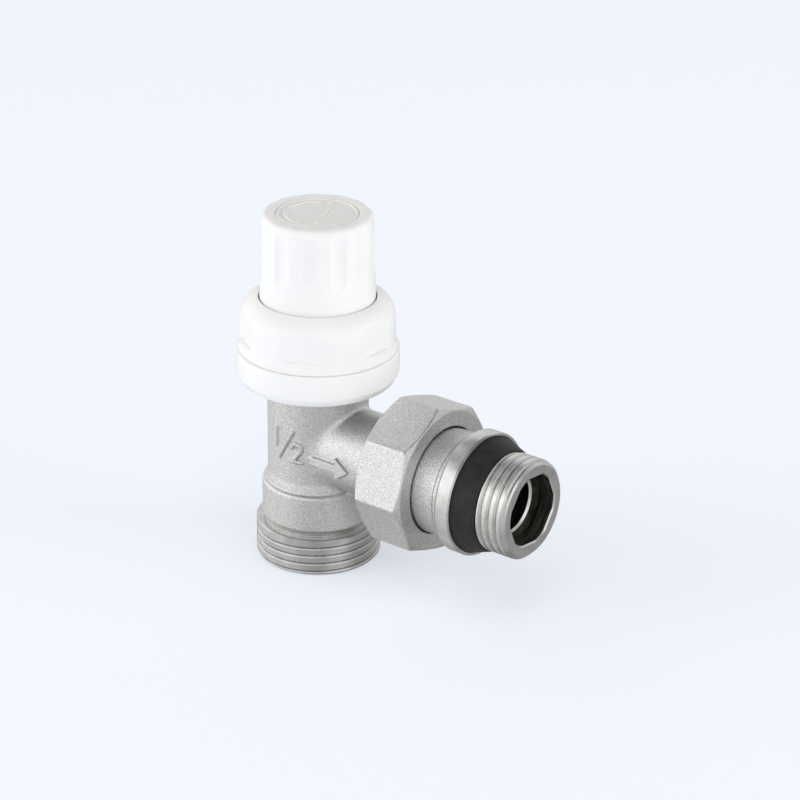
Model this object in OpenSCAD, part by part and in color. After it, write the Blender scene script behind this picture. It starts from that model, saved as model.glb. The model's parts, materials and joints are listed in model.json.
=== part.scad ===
// Angle radiator valve with a hand-turned white cap and a union tailpiece.
// Millimetres. The valve axis is Z, the foot of the inlet thread is z = 0,
// and the tailpiece leaves along +X.

/* [Threads] */
// Outside diameter of the inlet thread at the foot
inlet_thread_d = 26.44; // [26.2:0.02:26.6]
// Outside diameter of the radiator thread on the tailpiece
outlet_thread_d = 20.96; // [20.86:0.02:21.06]
// Distance between neighbouring crests of both visible threads
thread_pitch = 1.814; // [1.78:0.002:1.82]

/* [Body] */
// Diameter of the cast barrel above the inlet thread
barrel_d = 23.8; // [23.4:0.1:24.2]
// Diameter of the neck that rises into the cap
neck_d = 21.3; // [21.2:0.1:21.6]
// Height of the tailpiece axis above the foot
tail_z = 26.3; // [26.1:0.1:26.6]
// Diameter of the cast branch that leads to the union
branch_d = 17.8; // [17.4:0.1:18.2]
// Diameter of the water way in the inlet
inlet_bore_d = 16; // [15:0.5:16]

/* [Union] */
// Size across opposite flats of the union nut
nut_af = 30; // [29.6:0.2:31]
// Length of the union nut along the tail
nut_length = 11.6; // [11.4:0.1:11.8]
// Diameter of the plain part of the tailpiece
tail_d = 22.26; // [22:0.02:22.3]
// Size across opposite flats of the key socket in the tail mouth
socket_af = 14.1; // [13.8:0.1:14.2]

/* [Cap] */
// Diameter of the lower ring of the cap collar
base_ring_d = 34.2; // [34:0.1:34.8]
// Diameter of the upper part of the cap collar
collar_d = 32.5; // [32.3:0.1:32.9]
// Diameter of the knob where it leaves the collar
knob_d = 24.1; // [23.7:0.1:24.2]
// Height of the top of the knob above the foot
knob_top_z = 76.8; // [76.6:0.1:77.4]
// Number of shallow flutes round the knob
flute_count = 12; // [8:1:14]

/* [Hidden] */
$fn = 96;
eps = 0.02;             // gap left between faces that only meet
running_gap = 0.06;     // radial clearance of a turning fit
assembly_gap = 0.03;    // radial clearance of a screwed or pressed fit

inlet_r = inlet_thread_d / 2;
outlet_r = outlet_thread_d / 2;
barrel_r = barrel_d / 2;
neck_r = neck_d / 2;
inlet_bore_r = inlet_bore_d / 2;

thread_top_z = 8.2;     // top of the inlet thread
barrel_bottom_z = 9;
barrel_top_z = 17;
neck_bottom_z = 20.4;
head_bottom_z = 43;     // the wider head that carries the cap
head_top_z = 50;
head_r = 13.5;
seat_z = 20.5;
seat_hole_r = 6;
seat_rim_r = 7.2;
chamber_floor_z = 19.5;
chamber_r = 8.6;
bonnet_thread_r = 9;
bonnet_thread_z = 36;

size_mark_turn = -85;   // where the raised pipe size sits on the neck
size_mark_z = 28.3;

branch_r = branch_d / 2;
branch_bore_r = 6.5;
spigot_r = 13;
spigot_x = 22.3;        // back shoulder of the threaded spigot
spigot_end_x = 29.2;
nut_back_x = 21.8;
nut_front_x = nut_back_x + nut_length;
nut_wall_x = 31;        // inner face of the front wall of the nut
nut_hole_r = 11.45;
octagon_turn = 5;       // turn of the union nut about the tail

tail_r = tail_d / 2;
flange_x = 29.9;
ring_x = 40;
seal_x = 43.1;
seal_end_x = 48.7;
outlet_thread_x = 49.1;
outlet_thread_end_x = 54.7;
tail_end_x = 55.6;
socket_x = 50.7;
tail_bore_r = 6;
socket_turn = 20;

base_ring_r = base_ring_d / 2;
collar_r = collar_d / 2;
collar_bottom_z = 40.4;
seam_z = 47.5;
collar_flat_z = 49.9;
collar_flat_depth = 0.75; // how far the six flats cut into the collar
collar_top_z = 58.7;
collar_hole_r = 12.55;
collar_inner_r = 14.43;

knob_r = knob_d / 2;
knob_bottom_z = 55.5;
knob_taper = 0.45;      // how much the radius shrinks towards the top
knob_wall_r = 10.5;
hub_r = 5.6;
cover_r = 8.6;
flute_r = 3.5;
flute_depth = 0.42;
flute_bottom_z = 65.7;

stem_r = 3.5;
stem_thread_r = 5;
pin_r = 3;
pin_groove_r = 2.2;

nickel = [0.72, 0.72, 0.70];
turned = [0.80, 0.80, 0.78];
brass = [0.78, 0.66, 0.38];
steel = [0.66, 0.67, 0.69];
rubber = [0.07, 0.07, 0.07];
white = [0.94, 0.94, 0.93];

// Puts a shape drawn along Z on the tail axis, so that its z becomes the x of the valve.
module on_tail() {
    translate([0, 0, tail_z]) rotate([0, 90, 0]) children();
}

// Solid of revolution about Z from [radius, height] points.
module turned_solid(points) {
    rotate_extrude() polygon(points);
}

// Points of thread grooves down the outside of a turned profile.
function groove_points(r, first, count) =
    [for (i = [0 : count - 1])
        let (z = first + i * thread_pitch)
        for (p = [[r, z - 0.52], [r - 0.95, z - 0.08], [r - 0.95, z + 0.08], [r, z + 0.52]]) p];

// Points of an elliptical arc about [cr, cz], in degrees from the outward direction.
function arc_points(cr, cz, a, b, from, to, steps) =
    [for (i = [0 : steps])
        let (t = from + (to - from) * i / steps)
        [cr + a * cos(t), cz + b * sin(t)]];

module o_ring(ring_r, cord_r, z) {
    translate([0, 0, z]) rotate_extrude() translate([ring_r, 0]) circle(r = cord_r, $fn = 32);
}

// Flat arrow, drawn from the tail of its shaft at the origin towards +X.
module arrow_outline(length, width, head_length, head_width) {
    polygon([[0, -width / 2], [length - head_length, -width / 2],
             [length - head_length, -head_width / 2], [length, 0],
             [length - head_length, head_width / 2], [length - head_length, width / 2],
             [0, width / 2]]);
}

// Raised pipe size on the neck: a one, a stroke and a two, drawn upright.
module size_mark_outline() {
    polygon([[-4.0, -0.8], [-3.2, -0.8], [-3.2, 3.8], [-3.8, 3.8], [-4.7, 2.9], [-4.3, 2.4], [-4.0, 2.7]]);
    polygon([[-3.2, -3.4], [-2.4, -3.4], [1.5, 3.7], [0.7, 3.7]]);
    polygon([[0.2, -3.7], [3.2, -3.7], [3.2, -3.0], [1.5, -3.0], [2.9, -1.2], [3.2, -0.4],
             [3.0, 0.5], [2.2, 1.1], [1.2, 1.1], [0.4, 0.5], [0.1, -0.3], [0.8, -0.5],
             [1.1, 0.1], [1.7, 0.4], [2.3, 0.1], [2.4, -0.5], [2.1, -1.1], [0.2, -3.1]]);
}

module valve_body() color(nickel) {
    difference() {
        union() {
            turned_solid(concat(
                [[0, 0], [inlet_r - 0.5, 0], [inlet_r, 0.4]],
                groove_points(inlet_r, 1.9, 4),
                [[inlet_r, thread_top_z], [barrel_r - 0.6, thread_top_z + 0.3],
                 [barrel_r - 0.6, barrel_bottom_z], [barrel_r, barrel_bottom_z + 0.4],
                 [barrel_r, barrel_top_z], [barrel_r - 0.5, barrel_top_z + 1.3],
                 [neck_r + 0.3, neck_bottom_z - 1], [neck_r, neck_bottom_z],
                 [neck_r, head_bottom_z - 0.8], [head_r, head_bottom_z],
                 [head_r, head_top_z], [0, head_top_z]]));
            // branch and the threaded spigot inside the nut
            on_tail() {
                cylinder(r = branch_r, h = spigot_x + 0.5);
                turned_solid([[0, spigot_x], [spigot_r - 0.6, spigot_x], [spigot_r, spigot_x + 0.6],
                              [spigot_r, spigot_end_x - 0.6], [spigot_r - 0.6, spigot_end_x],
                              [0, spigot_end_x]]);
            }
            // flow arrow on the side of the branch
            translate([6.4, 0, tail_z - 0.6]) rotate([90, 0, 0]) translate([0, 0, branch_r - 1])
                linear_extrude(1.4) arrow_outline(9, 1.5, 3.4, 5);
            // pipe size on the neck
            rotate([0, 0, size_mark_turn]) translate([0, 0, size_mark_z]) rotate([90, 0, 90])
                translate([0, 0, neck_r - 1]) linear_extrude(1.4) size_mark_outline();
        }
        // inlet, seat and plug chamber
        translate([0, 0, -1]) cylinder(r = inlet_bore_r, h = 17.5);
        translate([0, 0, 16]) cylinder(r = seat_hole_r, h = 10);
        translate([0, 0, seat_z]) cylinder(r = chamber_r, h = 20);
        difference() {
            translate([0, 0, chamber_floor_z]) cylinder(r = chamber_r, h = 2);
            translate([0, 0, chamber_floor_z - 1]) cylinder(r = seat_rim_r, h = seat_z - chamber_floor_z + 1);
        }
        // threaded socket for the bonnet
        translate([0, 0, bonnet_thread_z]) cylinder(r = bonnet_thread_r, h = 20);
        // water way through the branch
        on_tail() cylinder(r = branch_bore_r, h = 40);
    }
}

module bonnet() color(brass) {
    difference() {
        union() {
            turned_solid([[0, 37], [8.4, 37], [bonnet_thread_r - assembly_gap, 37.6],
                          [bonnet_thread_r - assembly_gap, 47.6], [7.75, 47.6], [7.75, 49.2],
                          [bonnet_thread_r - assembly_gap, 49.2], [bonnet_thread_r - assembly_gap, head_top_z],
                          [11.8, head_top_z], [11.8, 51], [0, 51]]);
            translate([0, 0, 51 - 0.5]) cylinder(r = 12.1, h = 3.5, $fn = 6);
        }
        translate([0, 0, 36]) cylinder(r = stem_thread_r + running_gap, h = 9.2);
        translate([0, 0, 40]) cylinder(r = stem_r + running_gap, h = 20);
        translate([0, 0, 51.5]) cylinder(r = 5.5, h = 5);
    }
}

module bonnet_o_ring() color(rubber) o_ring(8.38, 0.58, 48.4);

module gland_washer() color(white)
    turned_solid([[3.85, 51.5], [5.4, 51.5], [5.4, 52.1], [3.85, 52.1]]);

module gland_nut() color(brass) {
    difference() {
        union() {
            translate([0, 0, 52.1]) cylinder(r = 5.5 - assembly_gap, h = 2.2);
            translate([0, 0, 54 + eps]) cylinder(r = 6.4, h = 2.1, $fn = 6);
        }
        translate([0, 0, 50]) cylinder(r = stem_r + 0.35, h = 10);
    }
}

module spindle() color(brass) {
    difference() {
        turned_solid([[0, 24.4], [pin_r - 0.3, 24.4], [pin_r, 24.7], [pin_r, 28.2],
                      [pin_groove_r, 28.2], [pin_groove_r, 29.2], [pin_r, 29.2], [pin_r, 31],
                      [stem_thread_r - 0.4, 31], [stem_thread_r, 31.4], [stem_thread_r, 41.4],
                      [stem_thread_r - 0.4, 41.8], [stem_r, 41.8],
                      [stem_r, 45.5], [2.35, 45.5], [2.35, 46.7], [stem_r, 46.7],
                      [stem_r, 47.3], [2.35, 47.3], [2.35, 48.5], [stem_r, 48.5],
                      [stem_r, 60.5], [2.9, 60.5], [2.9, 69.2], [2.6, 69.5], [0, 69.5]]);
        translate([0, 0, 63.5]) cylinder(r = 1.52, h = 10);
    }
}

module spindle_o_rings() color(rubber) {
    o_ring(2.93, 0.55, 46.1);
    o_ring(2.93, 0.55, 47.9);
}

module plug() color(brass) {
    difference() {
        turned_solid([[0, 21], [7.6, 21], [7.9, 21.3], [7.9, 23.4], [7.1, 24.2], [5, 24.2],
                      [5, 30.3], [4.7, 30.6], [0, 30.6]]);
        translate([0, 0, 20]) cylinder(r = 7, h = 2.3);
        translate([0, 0, 20]) cylinder(r = 1.53, h = 6);
        translate([0, 0, 24]) cylinder(r = pin_r + running_gap, h = 10);
        translate([0, 0, 28.1]) cylinder(r = 4.2, h = 1.2);
        translate([-10, -4.2, 28.1]) cube([10, 8.4, 1.2]);
    }
}

module plug_clip() color(steel) {
    difference() {
        turned_solid([[2.5, 28.3], [4.1, 28.3], [4.1, 29.1], [2.5, 29.1]]);
        translate([-6, -1.9, 28]) cube([6, 3.8, 2]);
    }
}

module plug_seal() color(rubber)
    turned_solid([[1.55, seat_z + eps], [6.7, seat_z + eps], [6.9, seat_z + 0.2], [6.9, 22.3], [1.55, 22.3]]);

module plug_screw() color(steel) {
    difference() {
        turned_solid([[0, 19.2], [2.2, 19.2], [2.7, 19.7], [2.7, seat_z], [1.5, seat_z],
                      [1.5, 23.9], [0, 23.9]]);
        translate([-4, -0.35, 18.5]) cube([8, 0.7, 1.4]);
    }
}

module union_nut() color(nickel) {
    on_tail() difference() {
        intersection() {
            rotate([0, 0, octagon_turn]) translate([0, 0, nut_back_x])
                cylinder(r = nut_af / 2 / cos(22.5), h = nut_length, $fn = 8);
            turned_solid([[0, nut_back_x], [nut_af / 2 - 0.3, nut_back_x],
                          [nut_af / 2 + 1.5, nut_back_x + 1.1],
                          [nut_af / 2 + 1.5, nut_front_x - 1.1],
                          [nut_af / 2 - 0.3, nut_front_x], [0, nut_front_x]]);
        }
        translate([0, 0, nut_back_x - 1])
            cylinder(r = spigot_r + running_gap, h = nut_wall_x + eps - nut_back_x + 1);
        translate([0, 0, nut_back_x]) cylinder(r = nut_hole_r, h = 20);
    }
}

module union_gasket() color(rubber)
    on_tail() turned_solid([[7, spigot_end_x + eps], [12.4, spigot_end_x + eps], [12.4, flange_x], [7, flange_x]]);

module tailpiece() color(turned) {
    on_tail() difference() {
        turned_solid(concat(
            [[0, flange_x], [12.7, flange_x], [12.7, nut_wall_x], [tail_r, nut_wall_x],
             [tail_r, ring_x], [10.8, ring_x], [10.8, seal_x], [10.2, seal_x],
             [10.2, outlet_thread_x - 0.3], [outlet_r, outlet_thread_x]],
            groove_points(outlet_r, 50.3, 3),
            [[outlet_r, outlet_thread_end_x], [outlet_r - 0.95, tail_end_x], [0, tail_end_x]]));
        translate([0, 0, flange_x - 1]) cylinder(r = tail_bore_r, h = 30);
        intersection() {
            rotate([0, 0, socket_turn]) translate([0, 0, socket_x])
                cylinder(r = socket_af / 2 / cos(30), h = 10, $fn = 6);
            translate([0, 0, socket_x]) cylinder(r = socket_af / 2 + 0.6, h = 10);
        }
    }
}

module seal_carrier() color(turned)
    on_tail() turned_solid([[10.8 + assembly_gap, ring_x + eps], [12.4, ring_x + eps], [13.05, ring_x + 0.6],
                            [13.05, 43.7], [12.8, 44], [12.35, 44], [12.3, seal_x],
                            [10.8 + assembly_gap, seal_x]]);

module tail_seal() color(rubber)
    on_tail() turned_solid([[10.2 + assembly_gap, seal_x + eps], [12.25, seal_x + eps], [12.3, 44],
                            [12.2, 44.4], [10.75, 48.4], [10.6, seal_end_x],
                            [10.2 + assembly_gap, seal_end_x]]);

module collar_insert() color(brass)
    turned_solid([[head_r + assembly_gap, head_bottom_z], [14.4, head_bottom_z], [14.4, 49.8],
                  [head_r + assembly_gap, 49.8]]);

module collar_base_ring() color(white)
    turned_solid(concat(
        [[13.75, collar_bottom_z], [base_ring_r - 0.9, collar_bottom_z]],
        arc_points(base_ring_r - 1.4, 42.5, 1.4, 1.9, -60, 0, 4),
        [[base_ring_r, seam_z - 0.4], [base_ring_r - 0.3, seam_z - 0.1], [15.3, seam_z - 0.1],
         [15.3, 42.2], [13.75, 42.2]]));

module cap_collar() color(white) {
    difference() {
        turned_solid(concat(
            [[collar_inner_r, 42.4], [15.25, 42.4], [15.25, seam_z - 0.1], [15.8, seam_z - 0.1],
             [15.8, seam_z + 0.1], [collar_r + 0.45, seam_z + 0.1], [collar_r + 0.45, seam_z + 0.6],
             [collar_r, seam_z + 1]],
            arc_points(collar_r - 4.2, 53.7, 4.2, 5.0, 0, 82, 10),
            [[collar_hole_r, collar_top_z - 0.1], [collar_hole_r, 57], [13.9, 55.6], [collar_inner_r, 54]]));
        for (i = [0 : 5])
            rotate([0, 0, 60 * i - 1]) translate([collar_r - collar_flat_depth, -7, collar_flat_z]) cube([3, 14, 12]);
    }
}

module knob() color(white) {
    difference() {
        turned_solid(concat(
            [[knob_wall_r, knob_bottom_z], [knob_r, knob_bottom_z], [knob_r, 59]],
            arc_points(knob_r - knob_taper - 1.1, knob_top_z - 1.3, 1.1, 1.3, 0, 90, 5),
            [[cover_r + 0.05, knob_top_z], [cover_r + 0.05, 75.4], [3.6, 75.4], [3.6, 72.5], [1.75, 72.5],
             [1.75, 70.9], [4.03, 70.9], [4.03, 60.3], [hub_r, 60.3], [hub_r, 73.6],
             [9.8, 73.6], [10.4, 72.4]]));
        for (i = [0 : flute_count - 1])
            rotate([0, 0, 360 / flute_count * i + 1])
                translate([knob_r - 0.12 - flute_depth + flute_r, 0, flute_bottom_z])
                    rotate([0, -1.7, 0]) {
                        sphere(r = flute_r, $fn = 48);
                        cylinder(r = flute_r, h = 14, $fn = 48);
                    }
    }
}

module knob_insert() color(brass)
    turned_solid([[2.93, 60.6], [4, 60.6], [4, 70.88], [2.93, 70.88]]);

module knob_screw() color(steel) {
    difference() {
        turned_solid([[0, 64], [1.5, 64], [1.5, 72.5], [2.9, 72.5], [2.9, 73.8], [2.3, 74.6], [0, 74.6]]);
        translate([-1.6, -0.35, 73.4]) cube([3.2, 0.7, 2]);
        translate([-0.35, -1.6, 73.4]) cube([0.7, 3.2, 2]);
    }
}

module arc_bar(r, width, start, end, steps = 16) {
    angles = [for (k = [0 : steps]) start + (end - start) * k / steps];
    polygon(concat([for (t = angles) (r + width / 2) * [cos(t), sin(t)]],
                   [for (k = [steps : -1 : 0]) (r - width / 2) * [cos(angles[k]), sin(angles[k])]]));
}

module arrow_head(r, angle, length) {
    polygon([(r - 0.85) * [cos(angle), sin(angle)], (r + 0.85) * [cos(angle), sin(angle)],
             r * [cos(angle + length), sin(angle + length)]]);
}

// turning arrows, dividing bar, plus and minus, with +X towards the front of the knob
module cover_marks() {
    arc_bar(6.5, 0.55, -102, -42);
    arrow_head(6.5, -44, 16);
    arc_bar(6.5, 0.55, -182, -120);
    arrow_head(6.5, -180, -16);
    translate([4.9, 0]) square([1.9, 0.5], center = true);
    translate([4.9, 0]) square([0.5, 1.9], center = true);
    translate([-6.6, 2.65]) rotate(-28) square([1.8, 0.6], center = true);
    translate([-1.5, 1.75]) rotate(-16) square([5.8, 0.45], center = true);
}

module knob_cover() color(white) {
    bottom_z = 75.4;
    top_z = knob_top_z - 0.25;
    translate([0, 0, bottom_z]) cylinder(r = cover_r, h = top_z - bottom_z);
    translate([0, 0, top_z - 0.1]) rotate([0, 0, -52]) linear_extrude(0.3) cover_marks();
}

valve_body();
bonnet();
bonnet_o_ring();
gland_washer();
gland_nut();
spindle();
spindle_o_rings();
plug();
plug_clip();
plug_seal();
plug_screw();
union_nut();
union_gasket();
tailpiece();
seal_carrier();
tail_seal();
collar_insert();
collar_base_ring();
cap_collar();
knob();
knob_insert();
knob_screw();
knob_cover();
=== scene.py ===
import json
import math

import bpy
import numpy as np
import openvdb
from mathutils import Matrix, Vector


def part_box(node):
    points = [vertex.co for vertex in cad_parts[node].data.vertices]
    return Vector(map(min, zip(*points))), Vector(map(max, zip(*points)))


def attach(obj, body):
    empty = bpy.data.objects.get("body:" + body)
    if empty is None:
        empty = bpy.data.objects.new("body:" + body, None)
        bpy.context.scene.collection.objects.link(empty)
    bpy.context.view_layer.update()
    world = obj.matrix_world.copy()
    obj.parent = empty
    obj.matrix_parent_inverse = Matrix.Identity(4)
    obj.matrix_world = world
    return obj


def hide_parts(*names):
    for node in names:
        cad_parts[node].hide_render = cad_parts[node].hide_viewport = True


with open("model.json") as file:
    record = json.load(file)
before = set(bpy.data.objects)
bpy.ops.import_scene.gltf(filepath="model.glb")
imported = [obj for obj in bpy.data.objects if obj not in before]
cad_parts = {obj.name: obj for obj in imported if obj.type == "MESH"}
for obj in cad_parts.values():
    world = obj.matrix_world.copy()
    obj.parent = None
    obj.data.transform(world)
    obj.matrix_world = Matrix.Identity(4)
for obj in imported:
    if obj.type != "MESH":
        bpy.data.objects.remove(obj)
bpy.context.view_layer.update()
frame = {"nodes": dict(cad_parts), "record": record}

MM = 0.001


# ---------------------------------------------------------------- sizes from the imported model

def box_mm(node):
    """Lowest and highest corner of a CAD node, in millimetres."""
    low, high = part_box(node)
    return np.array(low) / MM, np.array(high) / MM


mounts = {m["name"]: m for m in frame["record"]["mounts"]}
inlet_r = mounts["inlet_thread"]["dims"]["r_mm"]
outlet_r = mounts["outlet_thread"]["dims"]["r_mm"]
tail_z = mounts["outlet_thread"]["pos_m"][2] / MM

body_high = box_mm("valve_body")[1]
nut_low, nut_high = box_mm("union_nut")
tail_low, tail_high = box_mm("tailpiece")
ring_low, ring_high = box_mm("seal_carrier")
seal_low, seal_high = box_mm("tail_seal")
base_low, base_high = box_mm("collar_base_ring")
collar_low, collar_high = box_mm("cap_collar")
knob_low, knob_high = box_mm("knob")
cover_low, cover_high = box_mm("knob_cover")

PITCH = 1.814               # fourteen threads to the inch
EDGE = 0.01                 # keeps the visual pieces just inside the CAD box

INLET_BORE_R = 8.0
THREAD_FACE = 8.2           # flat top of the inlet thread
THREAD_TOP = 8.3            # where the casting starts
GROOVE_HEIGHTS = (-0.45, -0.2, 0.0, 0.12, 0.32)     # up the inlet thread, from the middle of a groove
GROOVE_DEPTHS = (0.0, 0.1, 0.5, 0.5, 0.0)

BARREL_R = 11.9
NECK_R = 10.65
BRANCH_R = 8.9
BRANCH_BORE_R = 6.5
HEAD_R = 13.5               # the wider head that carries the cap
HEAD_BOTTOM = 43.0
SPIGOT_R = 13.0             # outside of the union thread on the body

NUT_FLATS = 15.0            # from the tail axis to a flat of the nut
NUT_HOLE_R = 11.45
NUT_THREAD_R = 13.06
NUT_WALL_X = 31.02          # inner face of the nut's front wall

TAIL_R = 11.13
SEAL_BACK_X = 43.1          # where the seal carrier ends and the seal starts

SIZE_MARK_TURN = -85.0      # where the raised pipe size sits round the neck, in degrees
SIZE_MARK_Z = 28.3
SIZE_MARK = [               # outlines of the 1, the bar and the 2, across and up from the middle
    [(-4.0, -0.8), (-3.2, -0.8), (-3.2, 3.8), (-3.8, 3.8), (-4.7, 2.9), (-4.3, 2.4), (-4.0, 2.7)],
    [(-3.2, -3.4), (-2.4, -3.4), (1.5, 3.7), (0.7, 3.7)],
    [(0.2, -3.7), (3.2, -3.7), (3.2, -3.0), (1.5, -3.0), (2.9, -1.2), (3.2, -0.4), (3.0, 0.5), (2.2, 1.1),
     (1.2, 1.1), (0.4, 0.5), (0.1, -0.3), (0.8, -0.5), (1.1, 0.1), (1.7, 0.4), (2.3, 0.1), (2.4, -0.5),
     (2.1, -1.1), (0.2, -3.1)],
]


# ---------------------------------------------------------------- mesh helpers

def make_object(name, points_mm, faces, smooth_angle=35.0):
    """A smooth-shaded object with sharp edges where faces meet at more than smooth_angle degrees."""
    mesh = bpy.data.meshes.new(name)
    mesh.from_pydata((np.asarray(points_mm, float) * MM).tolist(), [], faces)
    mesh.update()
    mesh.polygons.foreach_set("use_smooth", [True] * len(mesh.polygons))
    mesh.set_sharp_from_angle(angle=math.radians(smooth_angle))
    obj = bpy.data.objects.new(name, mesh)
    bpy.context.scene.collection.objects.link(obj)
    return obj


def round_corners(points, steps=4):
    """Rounds the corners of a closed outline of (radius, height) or (radius, height, fillet) points."""
    out = []
    count = len(points)
    for i, point in enumerate(points):
        p = np.array(point[:2], float)
        fillet = point[2] if len(point) > 2 else 0.0
        before = np.array(points[i - 1][:2], float) - p
        after = np.array(points[(i + 1) % count][:2], float) - p
        len_a, len_b = np.linalg.norm(before), np.linalg.norm(after)
        if fillet <= 0 or len_a < 1e-6 or len_b < 1e-6:
            out.append(p)
            continue
        a, b = before / len_a, after / len_b
        half = math.acos(max(-1.0, min(1.0, float(a @ b)))) / 2
        reach = min(fillet / math.tan(half), 0.49 * len_a, 0.49 * len_b)
        radius = reach * math.tan(half)
        middle = (a + b) / np.linalg.norm(a + b)
        centre = p + middle * radius / math.sin(half)
        start, end = p + a * reach - centre, p + b * reach - centre
        t0 = math.atan2(start[1], start[0])
        t1 = math.atan2(end[1], end[0])
        turn = (t1 - t0 + math.pi) % (2 * math.pi) - math.pi
        for k in range(steps + 1):
            t = t0 + turn * k / steps
            out.append(centre + radius * np.array([math.cos(t), math.sin(t)]))
    return np.array(out)


def densify(outline, longest):
    """Splits the long sides of a closed outline."""
    out = []
    count = len(outline)
    for i in range(count):
        p, q = outline[i], outline[(i + 1) % count]
        steps = max(1, int(math.ceil(np.linalg.norm(q - p) / longest)))
        for k in range(steps):
            out.append(p + (q - p) * k / steps)
    return np.array(out)


def lathe(name, outline, segments=192, shape=None, along_tail=False, smooth_angle=35.0):
    """A closed ring-shaped mesh: the outline turned about the valve axis, or about the tail axis.
    shape(radius, height, angle) may change the radius and height of each point."""
    outline = np.asarray(outline, float)
    angle = np.arange(segments) * 2 * math.pi / segments
    r = np.repeat(outline[:, 0:1], segments, axis=1)
    h = np.repeat(outline[:, 1:2], segments, axis=1)
    t = np.repeat(angle[None, :], len(outline), axis=0)
    if shape is not None:
        r, h = shape(r, h, t)
    if along_tail:
        points = np.stack([h, r * np.cos(t), tail_z + r * np.sin(t)], axis=-1)
    else:
        points = np.stack([r * np.cos(t), r * np.sin(t), h], axis=-1)
    rows = len(outline)
    index = np.arange(rows * segments).reshape(rows, segments)
    right = np.roll(index, -1, axis=1)
    below = np.roll(index, -1, axis=0)
    corner = np.roll(below, -1, axis=1)
    faces = np.stack([index, right, corner, below], axis=-1).reshape(-1, 4)
    points = points.reshape(-1, 3)
    if signed_volume(points, faces) < 0:
        faces = faces[:, ::-1]
    return make_object(name, points, faces.tolist(), smooth_angle)


def signed_volume(points, quads):
    """Volume inside the faces, positive when the faces point outwards."""
    a, b, c, d = (points[quads[:, i]] for i in range(4))
    first = np.einsum("ij,ij->i", a, np.cross(b, c)).sum()
    second = np.einsum("ij,ij->i", a, np.cross(c, d)).sum()
    return (first + second) / 6


def smoothstep(x):
    """0 below 0, 1 above 1, and a smooth rise between."""
    x = np.clip(x, 0.0, 1.0)
    return x * x * (3 - 2 * x)


# ---------------------------------------------------------------- distance fields

def outline_distance(outline, x, y):
    """Signed distance from the points (x, y) to a closed outline, negative inside."""
    outline = np.asarray(outline, float)
    best = np.full(np.broadcast(x, y).shape, 1e9)
    inside = np.zeros(best.shape, bool)
    for i in range(len(outline)):
        ax, ay = outline[i - 1]
        bx, by = outline[i]
        ex, ey = bx - ax, by - ay
        share = np.clip(((x - ax) * ex + (y - ay) * ey) / (ex * ex + ey * ey + 1e-12), 0, 1)
        best = np.minimum(best, (x - ax - share * ex) ** 2 + (y - ay - share * ey) ** 2)
        crosses = (ay > y) != (by > y)
        if by != ay:
            inside ^= crosses & (x < ax + (y - ay) * ex / ey)
    return np.where(inside, -np.sqrt(best), np.sqrt(best))


def blend_union(a, b, k):
    """a or b, with the crease between them filled over a width of about k."""
    h = np.maximum(k - np.abs(a - b), 0) / k
    return np.minimum(a, b) - h * h * k / 4


def blend_cut(a, b, k):
    """a and not b, with the edge between them softened."""
    return -blend_union(-a, b, k)


def turned_distance(outline, r, heights):
    """Distance to an outline turned about an axis, at every radius in r and every height."""
    step = 0.1
    table_r = np.arange(0, r.max() + 2 * step, step)
    table = outline_distance(outline, table_r[:, None], heights[None, :])
    place = r / step
    low = place.astype(int)
    share = (place - low)[..., None]
    return table[low] * (1 - share) + table[low + 1] * share


class Field:
    """A grid of distances in millimetres, and the shapes that are drawn into it."""

    def __init__(self, low, high, voxel):
        """The grid runs from low to high, with points voxel apart."""
        self.voxel = voxel
        self.low = np.array(low, float)
        self.x, self.y, self.z = (np.arange(a, b, voxel) for a, b in zip(low, high))

    def turned(self, outline):
        """Distance to an outline of (radius, height) turned about the valve axis."""
        return turned_distance(outline, np.hypot(self.x[:, None], self.y[None, :]), self.z)

    def turned_on_tail(self, outline):
        """Distance to an outline of (radius, x) turned about the tail axis."""
        r = np.hypot(self.y[:, None], self.z[None, :] - tail_z)
        return np.moveaxis(turned_distance(outline, r, self.x), 2, 0)

    def mesh(self, name, distance, smooth_angle=50.0):
        """An object from the surface where the distance is zero."""
        band = 3 * self.voxel
        grid = openvdb.FloatGrid(band)
        grid.copyFromArray(np.ascontiguousarray(np.clip(distance, -band, band), dtype=np.float32))
        grid.gridClass = openvdb.GridClass.LEVEL_SET
        points, quads = grid.convertToQuads(isovalue=0.0)
        points = points.astype(float) * self.voxel + self.low
        quads = quads.astype(int)
        if signed_volume(points, quads) < 0:
            quads = quads[:, ::-1]
        points = relax(points, quads)
        return make_object(name, points, quads.tolist(), smooth_angle)


def relax(points, quads, rounds=2):
    """Evens out the grid ripple of a meshed field without shrinking it."""
    pairs = np.concatenate([quads[:, [i, (i + 1) % 4]] for i in range(4)])
    count = np.bincount(pairs.ravel(), minlength=len(points)).astype(float)
    for weight in (0.5, -0.52) * rounds:
        total = np.zeros_like(points)
        for axis in range(3):
            total[:, axis] = (np.bincount(pairs[:, 0], points[pairs[:, 1], axis], len(points))
                              + np.bincount(pairs[:, 1], points[pairs[:, 0], axis], len(points)))
        points = points + weight * (total / count[:, None] - points)
    return points


# ---------------------------------------------------------------- threads

def thread_depth(phase, depth, crest=0.6, root=0.96):
    """How far the thread's surface lies under its outside diameter: a wide crest and a V groove."""
    away = np.abs((phase % 1.0) - 0.5) * 2
    return depth * np.clip((away - crest) / (root - crest), 0, 1) ** 1.4


# ---------------------------------------------------------------- the valve body

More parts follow.
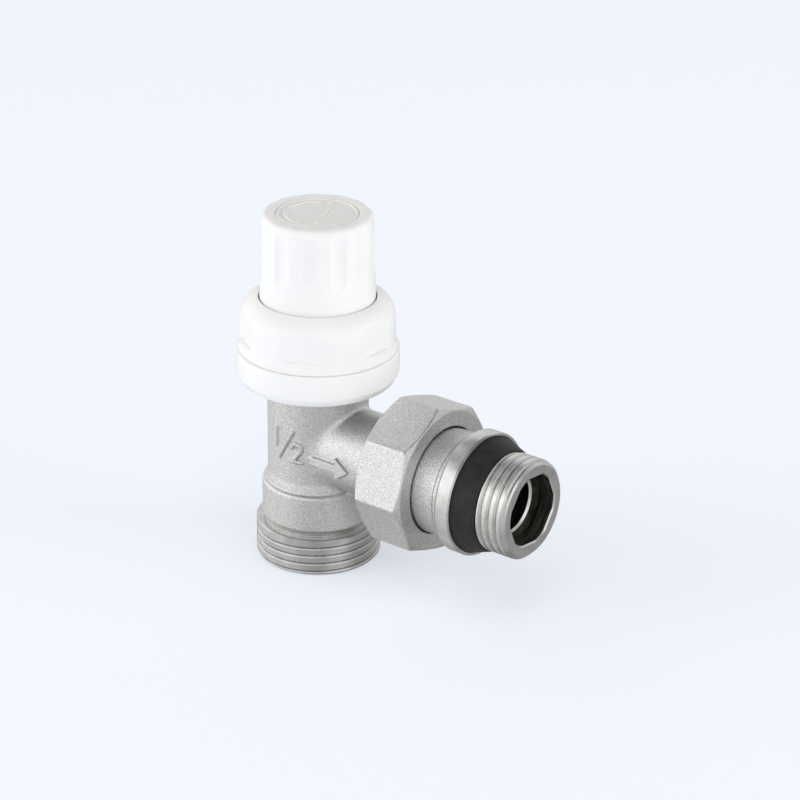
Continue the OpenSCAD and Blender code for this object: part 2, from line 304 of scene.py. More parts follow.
def build_casting():
    """The casting above the inlet thread: barrel, neck, head, branch, spigot and raised marks."""
    voxel = 0.2
    reach = HEAD_R + 1
    field = Field([-reach, -reach, THREAD_TOP - 1], [body_high[0] + 1, reach, body_high[2] + 1], voxel)
    top = body_high[2]
    barrel = [(0, THREAD_TOP), (11.25, THREAD_TOP), (11.25, 8.95), (BARREL_R - 0.2, 9.3), (BARREL_R, 9.6),
              (BARREL_R, 16.9), (BARREL_R - 0.15, 17.35), (BARREL_R - 0.45, 17.5), (11.05, 17.5),
              (10.95, 17.9), (10.85, 18.6), (NECK_R, 19.7), (NECK_R, HEAD_BOTTOM - 0.8),
              (HEAD_R, HEAD_BOTTOM), (HEAD_R, top), (0, top)]
    solid = field.turned(barrel)
    branch = field.turned_on_tail([(0, 2), (BRANCH_R, 2), (BRANCH_R, 22.6), (0, 22.6)])
    solid = blend_union(solid, branch, 1.3)
    solid = np.minimum(solid, threaded_spigot(field))
    solid = blend_union(solid, flow_arrow(field), 0.2)
    solid = blend_union(solid, size_mark(field, solid.shape), 0.3)

    # water ways, seat and the socket for the bonnet
    bores = field.turned([(0, 5), (INLET_BORE_R, 5), (INLET_BORE_R, 16.5), (6, 16.5), (6, 20.5), (7.2, 20.5),
                          (7.2, 19.5), (8.6, 19.5), (8.6, 36), (9, 36), (9, 55), (0, 55)])
    tail_bore = field.turned_on_tail([(0, 5), (BRANCH_BORE_R, 5), (BRANCH_BORE_R, 40), (0, 40)])
    solid = blend_cut(solid, np.minimum(bores, tail_bore), 0.3)
    casting = field.mesh("body_casting", solid)
    finish_piece(casting, "body", "cast_nickel", "valve_body")
    return casting


def threaded_spigot(field):
    """The union thread on the body, which shows when the nut has slid out."""
    back, front = 22.3, 29.2
    chamfer = 0.6
    spigot = field.turned_on_tail([(0, back), (SPIGOT_R - chamfer, back), (SPIGOT_R, back + chamfer),
                                   (SPIGOT_R, front - chamfer), (SPIGOT_R - chamfer, front), (0, front)])
    tail_r = np.hypot(field.y[:, None], field.z[None, :] - tail_z)
    tail_angle = np.arctan2(field.z[None, :] - tail_z, field.y[:, None])
    phase = field.x[:, None, None] / PITCH - tail_angle[None] / (2 * math.pi)
    groove = thread_depth(phase, 0.75, 0.15, 0.9)
    return np.maximum(spigot, (tail_r[None] - SPIGOT_R + groove) * 0.8)


def flow_arrow(field):
    """Raised arrow on the side of the branch."""
    outline = arrow_outline(5.4, tail_z - 0.6, length=10.0, width=1.9, head_length=3.4, head_width=5.0)
    flat = outline_distance(outline, field.x[:, None], field.z[None, :])[:, None, :]
    slab = np.abs(field.y[None, :, None] + BRANCH_R - 0.3) - 0.95
    return np.maximum(flat, slab)


def size_mark(field, shape):
    """Raised pipe size, wrapped round the neck. Only the part of the grid near it is worked out."""
    far = 9.0
    half_height, half_width = 5.5, 7
    turn = np.arctan2(field.y[None, :], field.x[:, None]) - math.radians(SIZE_MARK_TURN)
    around = turn * NECK_R
    radius = np.hypot(field.x[:, None], field.y[None, :])
    mark = np.full(shape, far)
    rows = (field.z > SIZE_MARK_Z - half_height) & (field.z < SIZE_MARK_Z + half_height)
    near_x, near_y = np.nonzero((np.abs(around) < half_width) & (radius > 8.5) & (radius < 12.5))
    across = around[near_x, near_y][:, None]
    up = (field.z[rows] - SIZE_MARK_Z)[None, :]
    flat = np.min([outline_distance(stroke, across, up) for stroke in SIZE_MARK], axis=0)
    shell = np.abs(radius[near_x, near_y][:, None] - NECK_R + 0.1) - 0.55
    patch = mark[near_x, near_y]
    patch[:, rows] = np.maximum(flat, shell)
    mark[near_x, near_y] = patch
    return mark


def arrow_outline(x, z, length, width, head_length, head_width):
    """Corners of a flat arrow that starts at (x, z) and points along X."""
    neck = x + length - head_length
    return [(x, z - width / 2), (neck, z - width / 2), (neck, z - head_width / 2), (x + length, z),
            (neck, z + head_width / 2), (neck, z + width / 2), (x, z + width / 2)]


def build_inlet_thread():
    """The turned inlet thread, with wide crests and narrow grooves."""
    foot_r = 12.72
    outer = [(inlet_r, z) for z in np.linspace(THREAD_FACE, 0.0, 260)]
    inner = [(INLET_BORE_R + 0.4, 0.0), (INLET_BORE_R, 0.4), (INLET_BORE_R, THREAD_TOP), (11.2, THREAD_TOP),
             (11.25, THREAD_FACE)]

    def shape(r, z, angle):
        """Cuts the grooves, and chamfers the thread's two ends."""
        outside = r > 12
        above_groove = ((z / PITCH - angle / (2 * math.pi) + 0.81) % 1.0 - 0.5) * PITCH
        groove = np.interp(above_groove, GROOVE_HEIGHTS, GROOVE_DEPTHS)
        turned = inlet_r - EDGE - groove * smoothstep((7.9 - z) / 0.5)
        turned = np.minimum(turned, foot_r + z)
        turned = np.minimum(turned, inlet_r - 0.15 + THREAD_FACE - z)
        return np.where(outside, turned, r), z

    piece = lathe("inlet_thread", outer + inner, 288, shape)
    finish_piece(piece, "body", "cast_nickel", "valve_body")
    piece.data.materials[0] = thread_nickel
    return piece


# ---------------------------------------------------------------- the union

def build_nut():
    """The eight-sided union nut, with both ends chamfered."""
    voxel = 0.16
    back, front = nut_low[0], nut_high[0]
    turn = 5
    corner_round = 0.35
    to_corner = 1 / math.cos(math.pi / 8)
    reach = NUT_FLATS * to_corner + 1
    field = Field([back - 1, -reach, tail_z - reach], [front + 1, reach, tail_z + reach], voxel)
    inner_corner = (NUT_FLATS - corner_round) * to_corner
    angles = [math.radians(turn + 45 * k) for k in range(8)]
    octagon = [(inner_corner * math.cos(a), inner_corner * math.sin(a)) for a in angles]
    flat = outline_distance(octagon, field.y[:, None], field.z[None, :] - tail_z) - corner_round
    limits = field.turned_on_tail([(0, back), (14.65, back), (16.6, back + 1.2), (16.6, front - 1.1),
                                   (14.75, front), (0, front)])
    solid = blend_cut(flat[None, :, :], -limits, 0.2)       # inside both
    hole = field.turned_on_tail([(0, back - 5), (13.5, back - 5), (13.5, back - 0.1),
                                 (NUT_THREAD_R, back + 0.5), (NUT_THREAD_R, NUT_WALL_X),
                                 (NUT_HOLE_R, NUT_WALL_X), (NUT_HOLE_R, front + 5), (0, front + 5)])
    solid = blend_cut(solid, hole, 0.25)
    piece = field.mesh("union_nut_visual", solid)
    finish_piece(piece, "nut", "cast_nickel", "union_nut")
    return piece


def build_tailpiece():
    """The turned tail: flange, plain part, thread, water way and key socket."""
    end, flange = tail_high[0], tail_low[0]
    thread_start = 49.0
    bore, mouth_x = 6.0, 50.7
    flats, corner_r = 7.15, 7.5
    flange_r = 12.7
    ring_seat_r, seal_seat_r = 10.8, 10.2
    thread = [(outlet_r, x) for x in np.linspace(end, thread_start, 200)]
    seats = [(seal_seat_r, thread_start - 0.25), (seal_seat_r, SEAL_BACK_X), (ring_seat_r, SEAL_BACK_X),
             (ring_seat_r, 40.0)]
    plain = [(TAIL_R - 0.13, 40.0), (TAIL_R, 39.8), (TAIL_R, 38.7), (TAIL_R - 0.13, 38.62),
             (TAIL_R - 0.13, 38.5), (TAIL_R, 38.42), (TAIL_R, 31.3)]
    foot = [(11.4, 31.0), (flange_r, 31.0), (flange_r, flange), (bore + 0.3, flange), (bore, flange + 0.3)]
    step = [(bore, mouth_x - 0.4), (bore + 0.45, mouth_x)]
    mouth = [(7.0, x) for x in (mouth_x, mouth_x + 0.05, mouth_x + 2.4, end - 0.3, end)]
    outline = thread + seats + plain + foot + step + mouth

    def shape(r, x, angle):
        """Cuts the thread and makes the mouth six-sided."""
        phase = x / PITCH - (angle + math.pi / 2) / (2 * math.pi)
        turned = outlet_r - EDGE - thread_depth(phase + 0.25, 0.8, 0.45)
        turned = np.minimum(turned, outlet_r - 0.95 + (end - x) * 1.05)
        outside = (r > 10.4) & (x > thread_start - 0.01)
        r = np.where(outside, turned, r)
        # six-sided key socket with its corners cut round
        local = (angle + math.radians(6)) % (math.pi / 3) - math.pi / 6
        hexagon = np.minimum(flats / np.cos(local), corner_r)
        hexagon = hexagon + 0.3 * smoothstep((x - end + 0.3) / 0.3)
        in_mouth = (r > 6.9) & (r < 7.1) & (x > mouth_x - 0.01)
        return np.where(in_mouth, hexagon, r), x

    piece = lathe("tailpiece_visual", outline, 288, shape, along_tail=True)
    finish_piece(piece, "tail", "turned_nickel", "tailpiece")
    # the bore gets painted shade, and the plain part behind the seal is as matt as the casting
    mesh = piece.data
    mesh.materials.append(materials["cast_nickel"])
    mesh.materials.append(bore_painted_shade_nickel)
    for polygon in mesh.polygons:
        centre = polygon.center / MM
        radius = math.hypot(centre.y, centre.z - tail_z)
        on_step_edge = bore + 0.05 < radius < bore + 0.4 and centre.x > mouth_x - 0.41
        if radius < 7.75 and centre.x < end - 0.35 and not on_step_edge:
            polygon.material_index = 2
        elif 31.1 < centre.x < 39.7 and radius > 10.9:
            polygon.material_index = 1
    return piece


def build_seal_carrier():
    """The bright ring behind the seal."""
    back, front = ring_low[0], ring_high[0]
    outline = round_corners([(10.83, back), (12.25, back, 0.12), (13.0, back + 0.75, 0.25),
                             (13.04, front - 0.35, 0.15), (12.85, front, 0.08), (12.37, front, 0.05),
                             (12.32, SEAL_BACK_X), (10.83, SEAL_BACK_X)], 5)
    piece = lathe("seal_carrier_visual", outline, 224, along_tail=True)
    finish_piece(piece, "tail", "turned_nickel", "seal_carrier")
    return piece


def build_tail_seal():
    """The conical rubber seal."""
    back, front = seal_low[0], seal_high[0]
    outline = round_corners([(10.23, back), (12.26, back), (12.29, 43.95, 0.1), (12.05, 44.75, 0.5),
                             (10.85, 48.2, 0.6), (10.55, front, 0.12), (10.23, front)], 6)
    piece = lathe("tail_seal_visual", densify(outline, 0.35), 224, along_tail=True)
    finish_piece(piece, "tail", "rubber", "tail_seal")
    return piece


# ---------------------------------------------------------------- the white cap

def build_base_ring():
    """The lower ring of the collar."""
    low, high = base_low[2], base_high[2]
    out = base_high[0]
    outline = round_corners([(13.75, low), (out - 1.0, low, 0.7), (out - 0.12, low + 1.6, 1.6),
                             (out - 0.01, low + 3.2), (out - 0.02, high, 0.3), (15.3, high),
                             (15.3, 42.2), (13.75, 42.2)], 6)
    piece = lathe("collar_base_ring_visual", outline, 224)
    finish_piece(piece, "body", "white_plastic", "collar_base_ring")
    return piece


def build_collar():
    """The upper part of the collar, with a round shoulder and six faint flats."""
    low, high = collar_low[2], collar_high[2]
    step_r = collar_high[0]
    wall_r = 16.25
    flat_z = 49.9
    flat_depth = 0.75
    hole_r = 12.3
    inner_r, lip_r = 14.43, 15.25
    shoulder_z = 53.7
    seam = base_high[2] + 0.02
    foot = round_corners([(lip_r, seam), (step_r - 0.02, seam, 0.3), (step_r - 0.02, seam + 0.55, 0.2),
                          (wall_r, seam + 1.0, 0.5), (wall_r, shoulder_z)], 5)[1:-1]
    shoulder = [(wall_r - 4.2 + 4.2 * math.cos(t), shoulder_z + 4.96 * math.sin(t))
                for t in np.radians(np.linspace(2, 82, 24))]
    outline = [(inner_r, low), (lip_r, low), (lip_r, seam)]
    outline += [tuple(point) for point in foot]
    outline += [(wall_r, z) for z in np.linspace(49.0, 53.6, 26)]
    outline += shoulder
    outline += [(hole_r + 0.12, high - 0.02), (hole_r, high - 0.15), (hole_r, 57.0), (13.9, 55.6),
                (inner_r, 54.0)]

    def shape(r, z, angle):
        """Presses the six flats into the wall above flat_z."""
        local = (angle + math.radians(1) + math.pi / 6) % (math.pi / 3) - math.pi / 6
        flat = (wall_r - flat_depth) / np.cos(local)
        flat = flat + 1.2 * (1 - smoothstep((z - flat_z + 0.3) / 0.35))
        outside = (r > 14.6) & (z > seam + 1.0)
        return np.where(outside, blend_union(r, flat, 0.15), r), z

    piece = lathe("cap_collar_visual", outline, 360, shape)
    finish_piece(piece, "body", "white_plastic", "cap_collar")
    return piece


def build_knob():
    """The knob, with its shallow flutes and the hub inside."""
    low, top = knob_low[2], knob_high[2]
    base_r = knob_high[0]
    top_r = base_r - 0.45
    cover_r = cover_high[0]
    flute_count = 12
    flute_foot_z, flute_half_width = 64.0, 1.75
    around_r = 11.8                         # radius at which the width of a flute is measured
    taper, taper_height, foot_z = 0.42, 16.5, 59.0
    wall = [(base_r, low)]
    wall += [(base_r - EDGE - taper * (z - foot_z) / taper_height, z) for z in np.linspace(foot_z, 75.0, 64)]
    rim = [(top_r - 1.15 + 1.12 * math.cos(t), top - 1.35 + 1.34 * math.sin(t))
           for t in np.radians(np.linspace(8, 90, 14))]
    inside = [(cover_r + 0.45, top - 0.01), (cover_r + 0.02, top - 0.2), (cover_r + 0.02, 75.4), (3.6, 75.4),
              (3.6, 72.5), (1.75, 72.5), (1.75, 70.9), (4.03, 70.9), (4.03, 60.3), (5.6, 60.3), (5.6, 73.6),
              (9.8, 73.6), (10.4, 72.4), (10.5, low)]

    def shape(r, z, angle):
        """Presses the flutes in. Each has a round foot and fades out towards the rim."""
        step = 2 * math.pi / flute_count
        local = ((angle - math.radians(1) + step / 2) % step - step / 2) * around_r
        past_foot = np.clip(flute_foot_z + flute_half_width - z, 0, None)
        across = np.sqrt(local ** 2 + past_foot ** 2) / flute_half_width
        depth = 0.5 - 0.3 * smoothstep((z - 71.0) / 5.0)
        flute = depth * np.clip(1 - across ** 2, 0, None) ** 0.8
        flute = flute * (z > flute_foot_z - 0.5) * (r > 10.2)
        return r - flute, z

    piece = lathe("knob_visual", wall + rim + inside, 480, shape)
    finish_piece(piece, "spindle", "white_plastic", "knob")
    return piece


def build_knob_cover():
    """The disc in the top of the knob, with raised turning arrows, a bar, a plus and a minus."""
    low = cover_low[2]
    out = cover_high[0]
    mark_height = 0.22
    face = knob_high[2] - mark_height
    front_turn = math.radians(52)           # turns the marks so that their X axis points to the front
    arc_r, arc_half_width = 6.5, 0.33
    head_half_width, head_taper = 0.85, 0.55
    arrows = ((-102, -44), (-120, -170))    # start and end of each arrow, in degrees
    bars = (((4.9, 0.0), 0, 1.9, 0.5),      # centre, turn, length and width
            ((4.9, 0.0), 90, 1.9, 0.5),
            ((-6.6, 2.65), -28, 1.8, 0.6),
            ((-1.5, 1.75), -16, 5.8, 0.45))
    radii = np.linspace(0.02, out - 0.12, 150)
    outline = [(r, face) for r in radii] + [(out, face - 0.12), (out, low), (0.02, low)]

    def bar(x, y, centre, turn, length, width):
        """Signed distance, roughly, to a straight bar."""
        c, s = math.cos(math.radians(turn)), math.sin(math.radians(turn))
        along = (x - centre[0]) * c + (y - centre[1]) * s
        across = (y - centre[1]) * c - (x - centre[0]) * s
        return np.maximum(np.abs(along) - length / 2, np.abs(across) - width / 2)

    def arrow(r, angle, start, end):
        """Signed distance, roughly, to a curved arrow that runs from start to end, in degrees."""
        middle, half = math.radians((start + end) / 2), math.radians(abs(end - start) / 2)
        turn = (angle - middle + math.pi) % (2 * math.pi) - math.pi
        arc = np.maximum(np.abs(r - arc_r) - arc_half_width, (np.abs(turn) - half) * arc_r)
        past_end = (turn * (1 if end > start else -1) - half) * arc_r
        head = np.maximum(np.abs(r - arc_r) - head_half_width + head_taper * past_end, -past_end - 0.1)
        return np.minimum(arc, head)

    def shape(r, z, angle):
        """Raises the marks and a ring near the edge out of the face."""
        local = angle + front_turn
        x, y = r * np.cos(local), r * np.sin(local)
        marks = np.abs(r - (out - 0.45)) - 0.16     # the ring
        for start, end in arrows:
            marks = np.minimum(marks, arrow(r, local, start, end))
        for centre, turn, length, width in bars:
            marks = np.minimum(marks, bar(x, y, centre, turn, length, width))
        rise = mark_height * (1 - smoothstep((marks - 0.02) / 0.14))
        on_face = z > face - 0.01
        return r, np.where(on_face, z + rise - 0.02, z)

    piece = lathe("knob_cover_visual", outline, 360, shape)
    finish_piece(piece, "spindle", "grey_white_plastic", "knob_cover")
    return piece


# ---------------------------------------------------------------- materials

def new_material(name):
    """A new node material, with the parts that every material here needs."""
    material = bpy.data.materials.new(name)
    material.use_nodes = True
    nodes, links = material.node_tree.nodes, material.node_tree.links
    shader = nodes["Principled BSDF"]
    coords = nodes.new("ShaderNodeTexCoord")
    return material, nodes, links, shader, coords


def add_noise(nodes, links, coords, scale, detail=3.0, stretch=None, roughness=0.55):
    """Noise fixed to the piece. stretch scales it along each axis."""
    noise = nodes.new("ShaderNodeTexNoise")
    noise.inputs["Scale"].default_value = scale
    noise.inputs["Detail"].default_value = detail
    noise.inputs["Roughness"].default_value = roughness
    source = coords.outputs["Object"]
    if stretch is not None:
        mapping = nodes.new("ShaderNodeMapping")
        mapping.inputs["Scale"].default_value = stretch
        links.new(source, mapping.inputs["Vector"])
        source = mapping.outputs["Vector"]
    links.new(source, noise.inputs["Vector"])
    return noise


def add_ramp(nodes, links, source, low, high, colors):
    """Two colours, with the change between them running from low to high."""
    ramp = nodes.new("ShaderNodeValToRGB")
    ramp.color_ramp.elements[0].position = low
    ramp.color_ramp.elements[1].position = high
    ramp.color_ramp.elements[0].color = (*colors[0], 1.0)
    ramp.color_ramp.elements[1].color = (*colors[1], 1.0)
    links.new(source, ramp.inputs["Fac"])
    return ramp


def add_range(nodes, links, source, low, high):
    """Turns a value of 0 to 1 into one of low to high."""
    spread = nodes.new("ShaderNodeMapRange")
    spread.inputs["To Min"].default_value = low
    spread.inputs["To Max"].default_value = high
    links.new(source, spread.inputs["Value"])
    return spread


def add_bump(nodes, links, height, distance, strength=1.0, before=None):
    """Bump from a height, on top of the bump before it."""
    bump = nodes.new("ShaderNodeBump")
    bump.inputs["Distance"].default_value = distance
    bump.inputs["Strength"].default_value = strength
    links.new(height, bump.inputs["Height"])
    if before is not None:
        links.new(before.outputs["Normal"], bump.inputs["Normal"])
    return bump


def cast_nickel():
    """Shot-blasted nickel plate: fine grain over a soft uneven casting skin, with painted shade in the
    hollows.
    """
    material, nodes, links, shader, coords = new_material("cast_nickel_crease_shade_finish")
    shader.inputs["Metallic"].default_value = 1.0
    grain = add_noise(nodes, links, coords, 4200.0, 2.0, roughness=0.65)
    pits = nodes.new("ShaderNodeTexVoronoi")
    pits.inputs["Scale"].default_value = 3000.0
    links.new(coords.outputs["Object"], pits.inputs["Vector"])
    skin = add_noise(nodes, links, coords, 260.0, 3.0)
    color = add_ramp(nodes, links, grain.outputs["Fac"], 0.35, 0.62, ((0.58, 0.58, 0.57), (1.0, 1.0, 0.99)))
    # Pointiness is 0.5 on flat metal and less in hollows, where painted shade leaves the finish 0.45 of its
    # brightness
    geometry = nodes.new("ShaderNodeNewGeometry")
    painted_crease_shade = add_range(nodes, links, geometry.outputs["Pointiness"], 0.45, 1.0)
    painted_crease_shade.inputs["From Min"].default_value = 0.44
    painted_crease_shade.inputs["From Max"].default_value = 0.49
    shade = nodes.new("ShaderNodeVectorMath")
    shade.operation = "SCALE"
    links.new(color.outputs["Color"], shade.inputs["Vector"])
    links.new(painted_crease_shade.outputs["Result"], shade.inputs["Scale"])
    links.new(shade.outputs["Vector"], shader.inputs["Base Color"])
    rough = add_range(nodes, links, skin.outputs["Fac"], 0.24, 0.38)
    links.new(rough.outputs["Result"], shader.inputs["Roughness"])
    wide = add_bump(nodes, links, skin.outputs["Fac"], 0.00012, 0.5)
    dents = add_bump(nodes, links, pits.outputs["Distance"], 0.00006, 0.5, wide)
    fine = add_bump(nodes, links, grain.outputs["Fac"], 0.00013, 0.8, dents)
    links.new(fine.outputs["Normal"], shader.inputs["Normal"])
    return material


def turned_metal(name, tint, stretch, roughness, groove=0.00002):
    """Plated metal from the lathe: fine rings round its axis and faint stains."""
    material, nodes, links, shader, coords = new_material(name)
    shader.inputs["Metallic"].default_value = 1.0
    rings = add_noise(nodes, links, coords, 1.0, 4.0, stretch)
    stains = add_noise(nodes, links, coords, 420.0, 3.0)
    dark = tuple(0.82 * c for c in tint)
    color = add_ramp(nodes, links, stains.outputs["Fac"], 0.3, 0.7, (dark, tint))
    links.new(color.outputs["Color"], shader.inputs["Base Color"])
    rough = add_range(nodes, links, stains.outputs["Fac"], roughness - 0.05, roughness + 0.1)
    links.new(rough.outputs["Result"], shader.inputs["Roughness"])
    bump = add_bump(nodes, links, rings.outputs["Fac"], groove, 0.8)
    links.new(bump.outputs["Normal"], shader.inputs["Normal"])
    return material


def painted_shade_bore_metal():
    """The inside of the tail in painted shade, where painted highlights on the turning marks catch a little
    light.
    """
    material, nodes, links, shader, coords = new_material("bore_painted_shade_finish")
    shader.inputs["Metallic"].default_value = 1.0
    rings = add_noise(nodes, links, coords, 1.0, 3.0, (2600.0, 120.0, 120.0))
    # painted shade for the bore, with painted highlights along the turning rings
    painted_shade_and_highlight = ((0.16, 0.155, 0.14), (0.62, 0.61, 0.58))
    color = add_ramp(nodes, links, rings.outputs["Fac"], 0.45, 0.72, painted_shade_and_highlight)
    links.new(color.outputs["Color"], shader.inputs["Base Color"])
    rough = add_range(nodes, links, rings.outputs["Fac"], 0.26, 0.42)
    links.new(rough.outputs["Result"], shader.inputs["Roughness"])
    bump = add_bump(nodes, links, rings.outputs["Fac"], 0.0001, 0.8)
    links.new(bump.outputs["Normal"], shader.inputs["Normal"])
    return material


def moulded_plastic(name, color, roughness, bump_height):
    """Moulded plastic: a very fine texture, slight colour drift and a soft light scatter."""
    material, nodes, links, shader, coords = new_material(name)
    drift = add_noise(nodes, links, coords, 90.0, 2.0)
    fine = add_noise(nodes, links, coords, 2200.0, 2.0)
    low = tuple(0.975 * c for c in color)
    tint = add_ramp(nodes, links, drift.outputs["Fac"], 0.3, 0.7, (low, color))
    links.new(tint.outputs["Color"], shader.inputs["Base Color"])
    rough = add_range(nodes, links, fine.outputs["Fac"], roughness - 0.04, roughness + 0.06)
    links.new(rough.outputs["Result"], shader.inputs["Roughness"])
    shader.inputs["IOR"].default_value = 1.48
    bump = add_bump(nodes, links, fine.outputs["Fac"], bump_height, 0.35)
    links.new(bump.outputs["Normal"], shader.inputs["Normal"])
    return material


def black_rubber():
    """Matt black rubber with a little dust."""
    material, nodes, links, shader, coords = new_material("rubber_finish")
    dust = add_noise(nodes, links, coords, 500.0, 4.0)
    fine = add_noise(nodes, links, coords, 2400.0, 2.0)
    blacks = ((0.010, 0.010, 0.009), (0.024, 0.023, 0.021))
    color = add_ramp(nodes, links, dust.outputs["Fac"], 0.35, 0.8, blacks)
    links.new(color.outputs["Color"], shader.inputs["Base Color"])
    rough = add_range(nodes, links, dust.outputs["Fac"], 0.5, 0.66)
    links.new(rough.outputs["Result"], shader.inputs["Roughness"])
    bump = add_bump(nodes, links, fine.outputs["Fac"], 0.00003, 0.5)
    links.new(bump.outputs["Normal"], shader.inputs["Normal"])
    return material


def finish_piece(piece, body, slot_name, *nodes):
    """Gives a piece its finish and its body, and lets it stand for its CAD nodes."""
    piece.data.materials.append(materials[slot_name])
    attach(piece, body)
    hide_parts(*nodes)


NICKEL = (0.80, 0.80, 0.785)
BRASS = (0.80, 0.62, 0.30)
STEEL = (0.62, 0.63, 0.65)
ALONG_Z = (40.0, 40.0, 9000.0)          # stretches noise into rings round the valve axis
ALONG_X = (9000.0, 40.0, 40.0)          # and round the tail axis
materials = {
    "cast_nickel": cast_nickel(),
    "turned_nickel": turned_metal("turned_nickel_finish", NICKEL, ALONG_X, 0.2),
    "brass": turned_metal("brass_finish", BRASS, ALONG_Z, 0.26),
    "steel": turned_metal("steel_finish", STEEL, ALONG_Z, 0.3),
    "rubber": black_rubber(),
    "ptfe": moulded_plastic("ptfe_finish", (0.86, 0.86, 0.84), 0.5, 0.00002),
    "white_plastic": moulded_plastic("white_plastic_finish", (0.90, 0.90, 0.895), 0.28, 0.000012),
    # matt, and a little greyer than the white plastic: the grey is painted shade for the knob's top, which
    # gets less light from above
    "grey_white_plastic": moulded_plastic("grey_white_plastic_painted_shade_finish", (0.86, 0.86, 0.85), 0.5, 0.00004),
}
bore_painted_shade_nickel = painted_shade_bore_metal()
thread_nickel = turned_metal("thread_nickel_finish", (0.70, 0.70, 0.69), ALONG_Z, 0.2)


# ---------------------------------------------------------------- the pieces

build_casting()
build_inlet_thread()
build_nut()
build_tailpiece()
build_seal_carrier()
build_tail_seal()
build_base_ring()
build_collar()
build_knob()
build_knob_cover()

# the hidden pieces keep their CAD shape and get their finish
for part in frame["record"]["subparts"]:
    obj = frame["nodes"][part["node"]]
    obj.data.materials.clear()
    obj.data.materials.append(materials[part["material_slot"]])


# ---------------------------------------------------------------- floor, light and camera

def area_light(name, location, target, size, energy, color):
    """A soft box that faces the target."""
    data = bpy.data.lights.new(name, "AREA")
    data.shape = "RECTANGLE"
    data.size, data.size_y = size
    data.energy = energy
    data.color = color
    light = bpy.data.objects.new(name, data)
    light.location = location
    light.rotation_euler = (Vector(target) - Vector(location)).to_track_quat("-Z", "Y").to_euler()
    bpy.context.scene.collection.objects.link(light)
    return light


def build_floor():
    """Plain pale floor. It glows a little, as paper in a light tent does."""
    size = 3.0
    corners = [(-size, -size, 0), (size, -size, 0), (size, size, 0), (-size, size, 0)]
    mesh = bpy.data.meshes.new("floor")
    mesh.from_pydata(corners, [], [(0, 1, 2, 3)])
    floor = bpy.data.objects.new("floor", mesh)
    floor.location.z = -0.0001          # just below the foot of the valve
    bpy.context.scene.collection.objects.link(floor)
    material, nodes, links, shader, coords = new_material("floor_finish")
    speck = add_noise(nodes, links, coords, 300.0, 2.0)
    pales = ((0.62, 0.65, 0.71), (0.625, 0.655, 0.715))
    tint = add_ramp(nodes, links, speck.outputs["Fac"], 0.3, 0.7, pales)
    links.new(tint.outputs["Color"], shader.inputs["Base Color"])
    shader.inputs["Emission Color"].default_value = (0.86, 0.90, 0.98, 1.0)
    shader.inputs["Emission Strength"].default_value = 0.45
    shader.inputs["Roughness"].default_value = 0.9
    shader.inputs["Specular IOR Level"].default_value = 0.1
    floor.data.materials.append(material)
    floor.visible_glossy = False        # metal mirrors the studio, not the floor


def build_camera():
    """The camera, and the directions to its right and back to it from the valve."""
    turn, rise, roll = math.radians(37.639), math.radians(24.623), math.radians(0.523)
    distance = 0.601
    target = Vector((13.61, 10.50, 34.86)) * MM
    right = Vector((math.cos(turn), math.sin(turn), 0))
    back = Vector((math.sin(turn) * math.cos(rise), -math.cos(turn) * math.cos(rise), math.sin(rise)))
    up = back.cross(right)
    right_rolled = right * math.cos(roll) + up * math.sin(roll)
    up_rolled = up * math.cos(roll) - right * math.sin(roll)
    data = bpy.data.cameras.new("camera")
    data.lens = 128.87
    data.sensor_width = 36
    data.clip_start = 0.01
    data.clip_end = 20
    camera = bpy.data.objects.new("camera", data)
    matrix = Matrix((right_rolled, up_rolled, back)).transposed().to_4x4()
    matrix.translation = target + back * distance
    camera.matrix_world = matrix
    bpy.context.scene.collection.objects.link(camera)
    bpy.context.scene.camera = camera
    return right, back


# brightness of the studio by elevation on its bright left side, and by azimuth as a share of that
BY_ELEVATION = ((-90, 0.52), (-50, 0.56), (-25, 0.76), (-8, 0.95), (8, 1.2), (24, 1.38), (36, 1.3),
                (44, 0.5), (60, 0.36), (90, 0.34))
BY_AZIMUTH = ((-180, 1.0), (-127, 1.0), (-100, 0.82), (-75, 0.66), (-48, 0.55), (-22, 0.78), (-4, 0.84),
              (18, 0.48), (48, 0.45), (90, 0.55), (130, 0.6), (180, 1.0))
BOX_SIZE = (1.3, 1.3)
BOX_COLOR = (1.0, 0.98, 0.95)


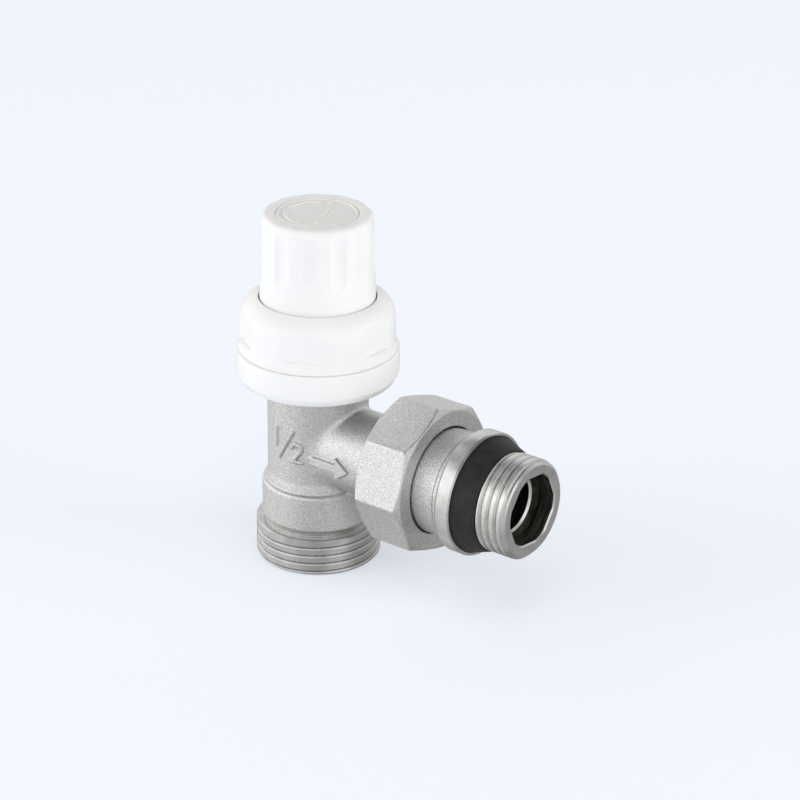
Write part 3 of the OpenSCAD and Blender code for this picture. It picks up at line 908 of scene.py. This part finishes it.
def add_curve(nodes, links, source, low, high, stops):
    """A value looked up in a list of (place, level) stops between low and high."""
    scale = nodes.new("ShaderNodeMapRange")
    scale.inputs["From Min"].default_value = low
    scale.inputs["From Max"].default_value = high
    links.new(source, scale.inputs["Value"])
    ramp = nodes.new("ShaderNodeValToRGB")
    ramp.color_ramp.interpolation = "EASE"
    while len(ramp.color_ramp.elements) < len(stops):
        ramp.color_ramp.elements.new(0.5)
    for element, (place, level) in zip(ramp.color_ramp.elements, stops):
        element.position = (place - low) / (high - low)
        element.color = (level, level, level, 1.0)
    links.new(scale.outputs["Result"], ramp.inputs["Fac"])
    return ramp.outputs["Color"]


def add_math(nodes, links, operation, *values):
    """The result of a Math node on sockets or numbers."""
    node = nodes.new("ShaderNodeMath")
    node.operation = operation
    for socket, value in zip(node.inputs, values):
        if isinstance(value, float):
            socket.default_value = value
        else:
            links.new(value, socket)
    return node.outputs["Value"]


def build_world():
    """A light tent with a large soft light on the left, a weaker one on the right and a dim top."""
    world = bpy.data.worlds.new("studio")
    world.use_nodes = True
    nodes, links = world.node_tree.nodes, world.node_tree.links
    coords = nodes.new("ShaderNodeTexCoord")
    split = nodes.new("ShaderNodeSeparateXYZ")
    links.new(coords.outputs["Generated"], split.inputs[0])
    elevation = add_math(nodes, links, "ARCSINE", split.outputs["Z"])
    azimuth = add_math(nodes, links, "ARCTAN2", split.outputs["Y"], split.outputs["X"])
    height = add_curve(nodes, links, add_math(nodes, links, "DEGREES", elevation), -90, 90, BY_ELEVATION)
    around = add_curve(nodes, links, add_math(nodes, links, "DEGREES", azimuth), -180, 180, BY_AZIMUTH)
    background = nodes["Background"]
    background.inputs["Color"].default_value = (1.0, 1.0, 1.0, 1.0)
    links.new(add_math(nodes, links, "MULTIPLY", height, around), background.inputs["Strength"])
    bpy.context.scene.world = world


def build_lights(right, back):
    """The studio itself lights the metal; the soft boxes only lift the plastic and the floor."""
    centre = Vector((0.012, 0, 0.035))
    front = Vector((back.x, back.y, 0)).normalized()
    build_world()
    places = {
        "left_softbox": (-right * 2.2 + front * 0.4 + Vector((0, 0, 0.5)), 13.0),
        "right_softbox": (right * 2.2 + front * 0.8 + Vector((0, 0, 0.5)), 23.0),
        "top_softbox": (front * 1.0 + Vector((0, 0, 2.0)), 8.0),
    }
    for name, (offset, energy) in places.items():
        light = area_light(name, centre + offset, centre, BOX_SIZE, energy, BOX_COLOR)
        light.visible_glossy = False


build_floor()
view_right, view_back = build_camera()
build_lights(view_right, view_back)
bpy.context.scene.view_settings.view_transform = "Standard"
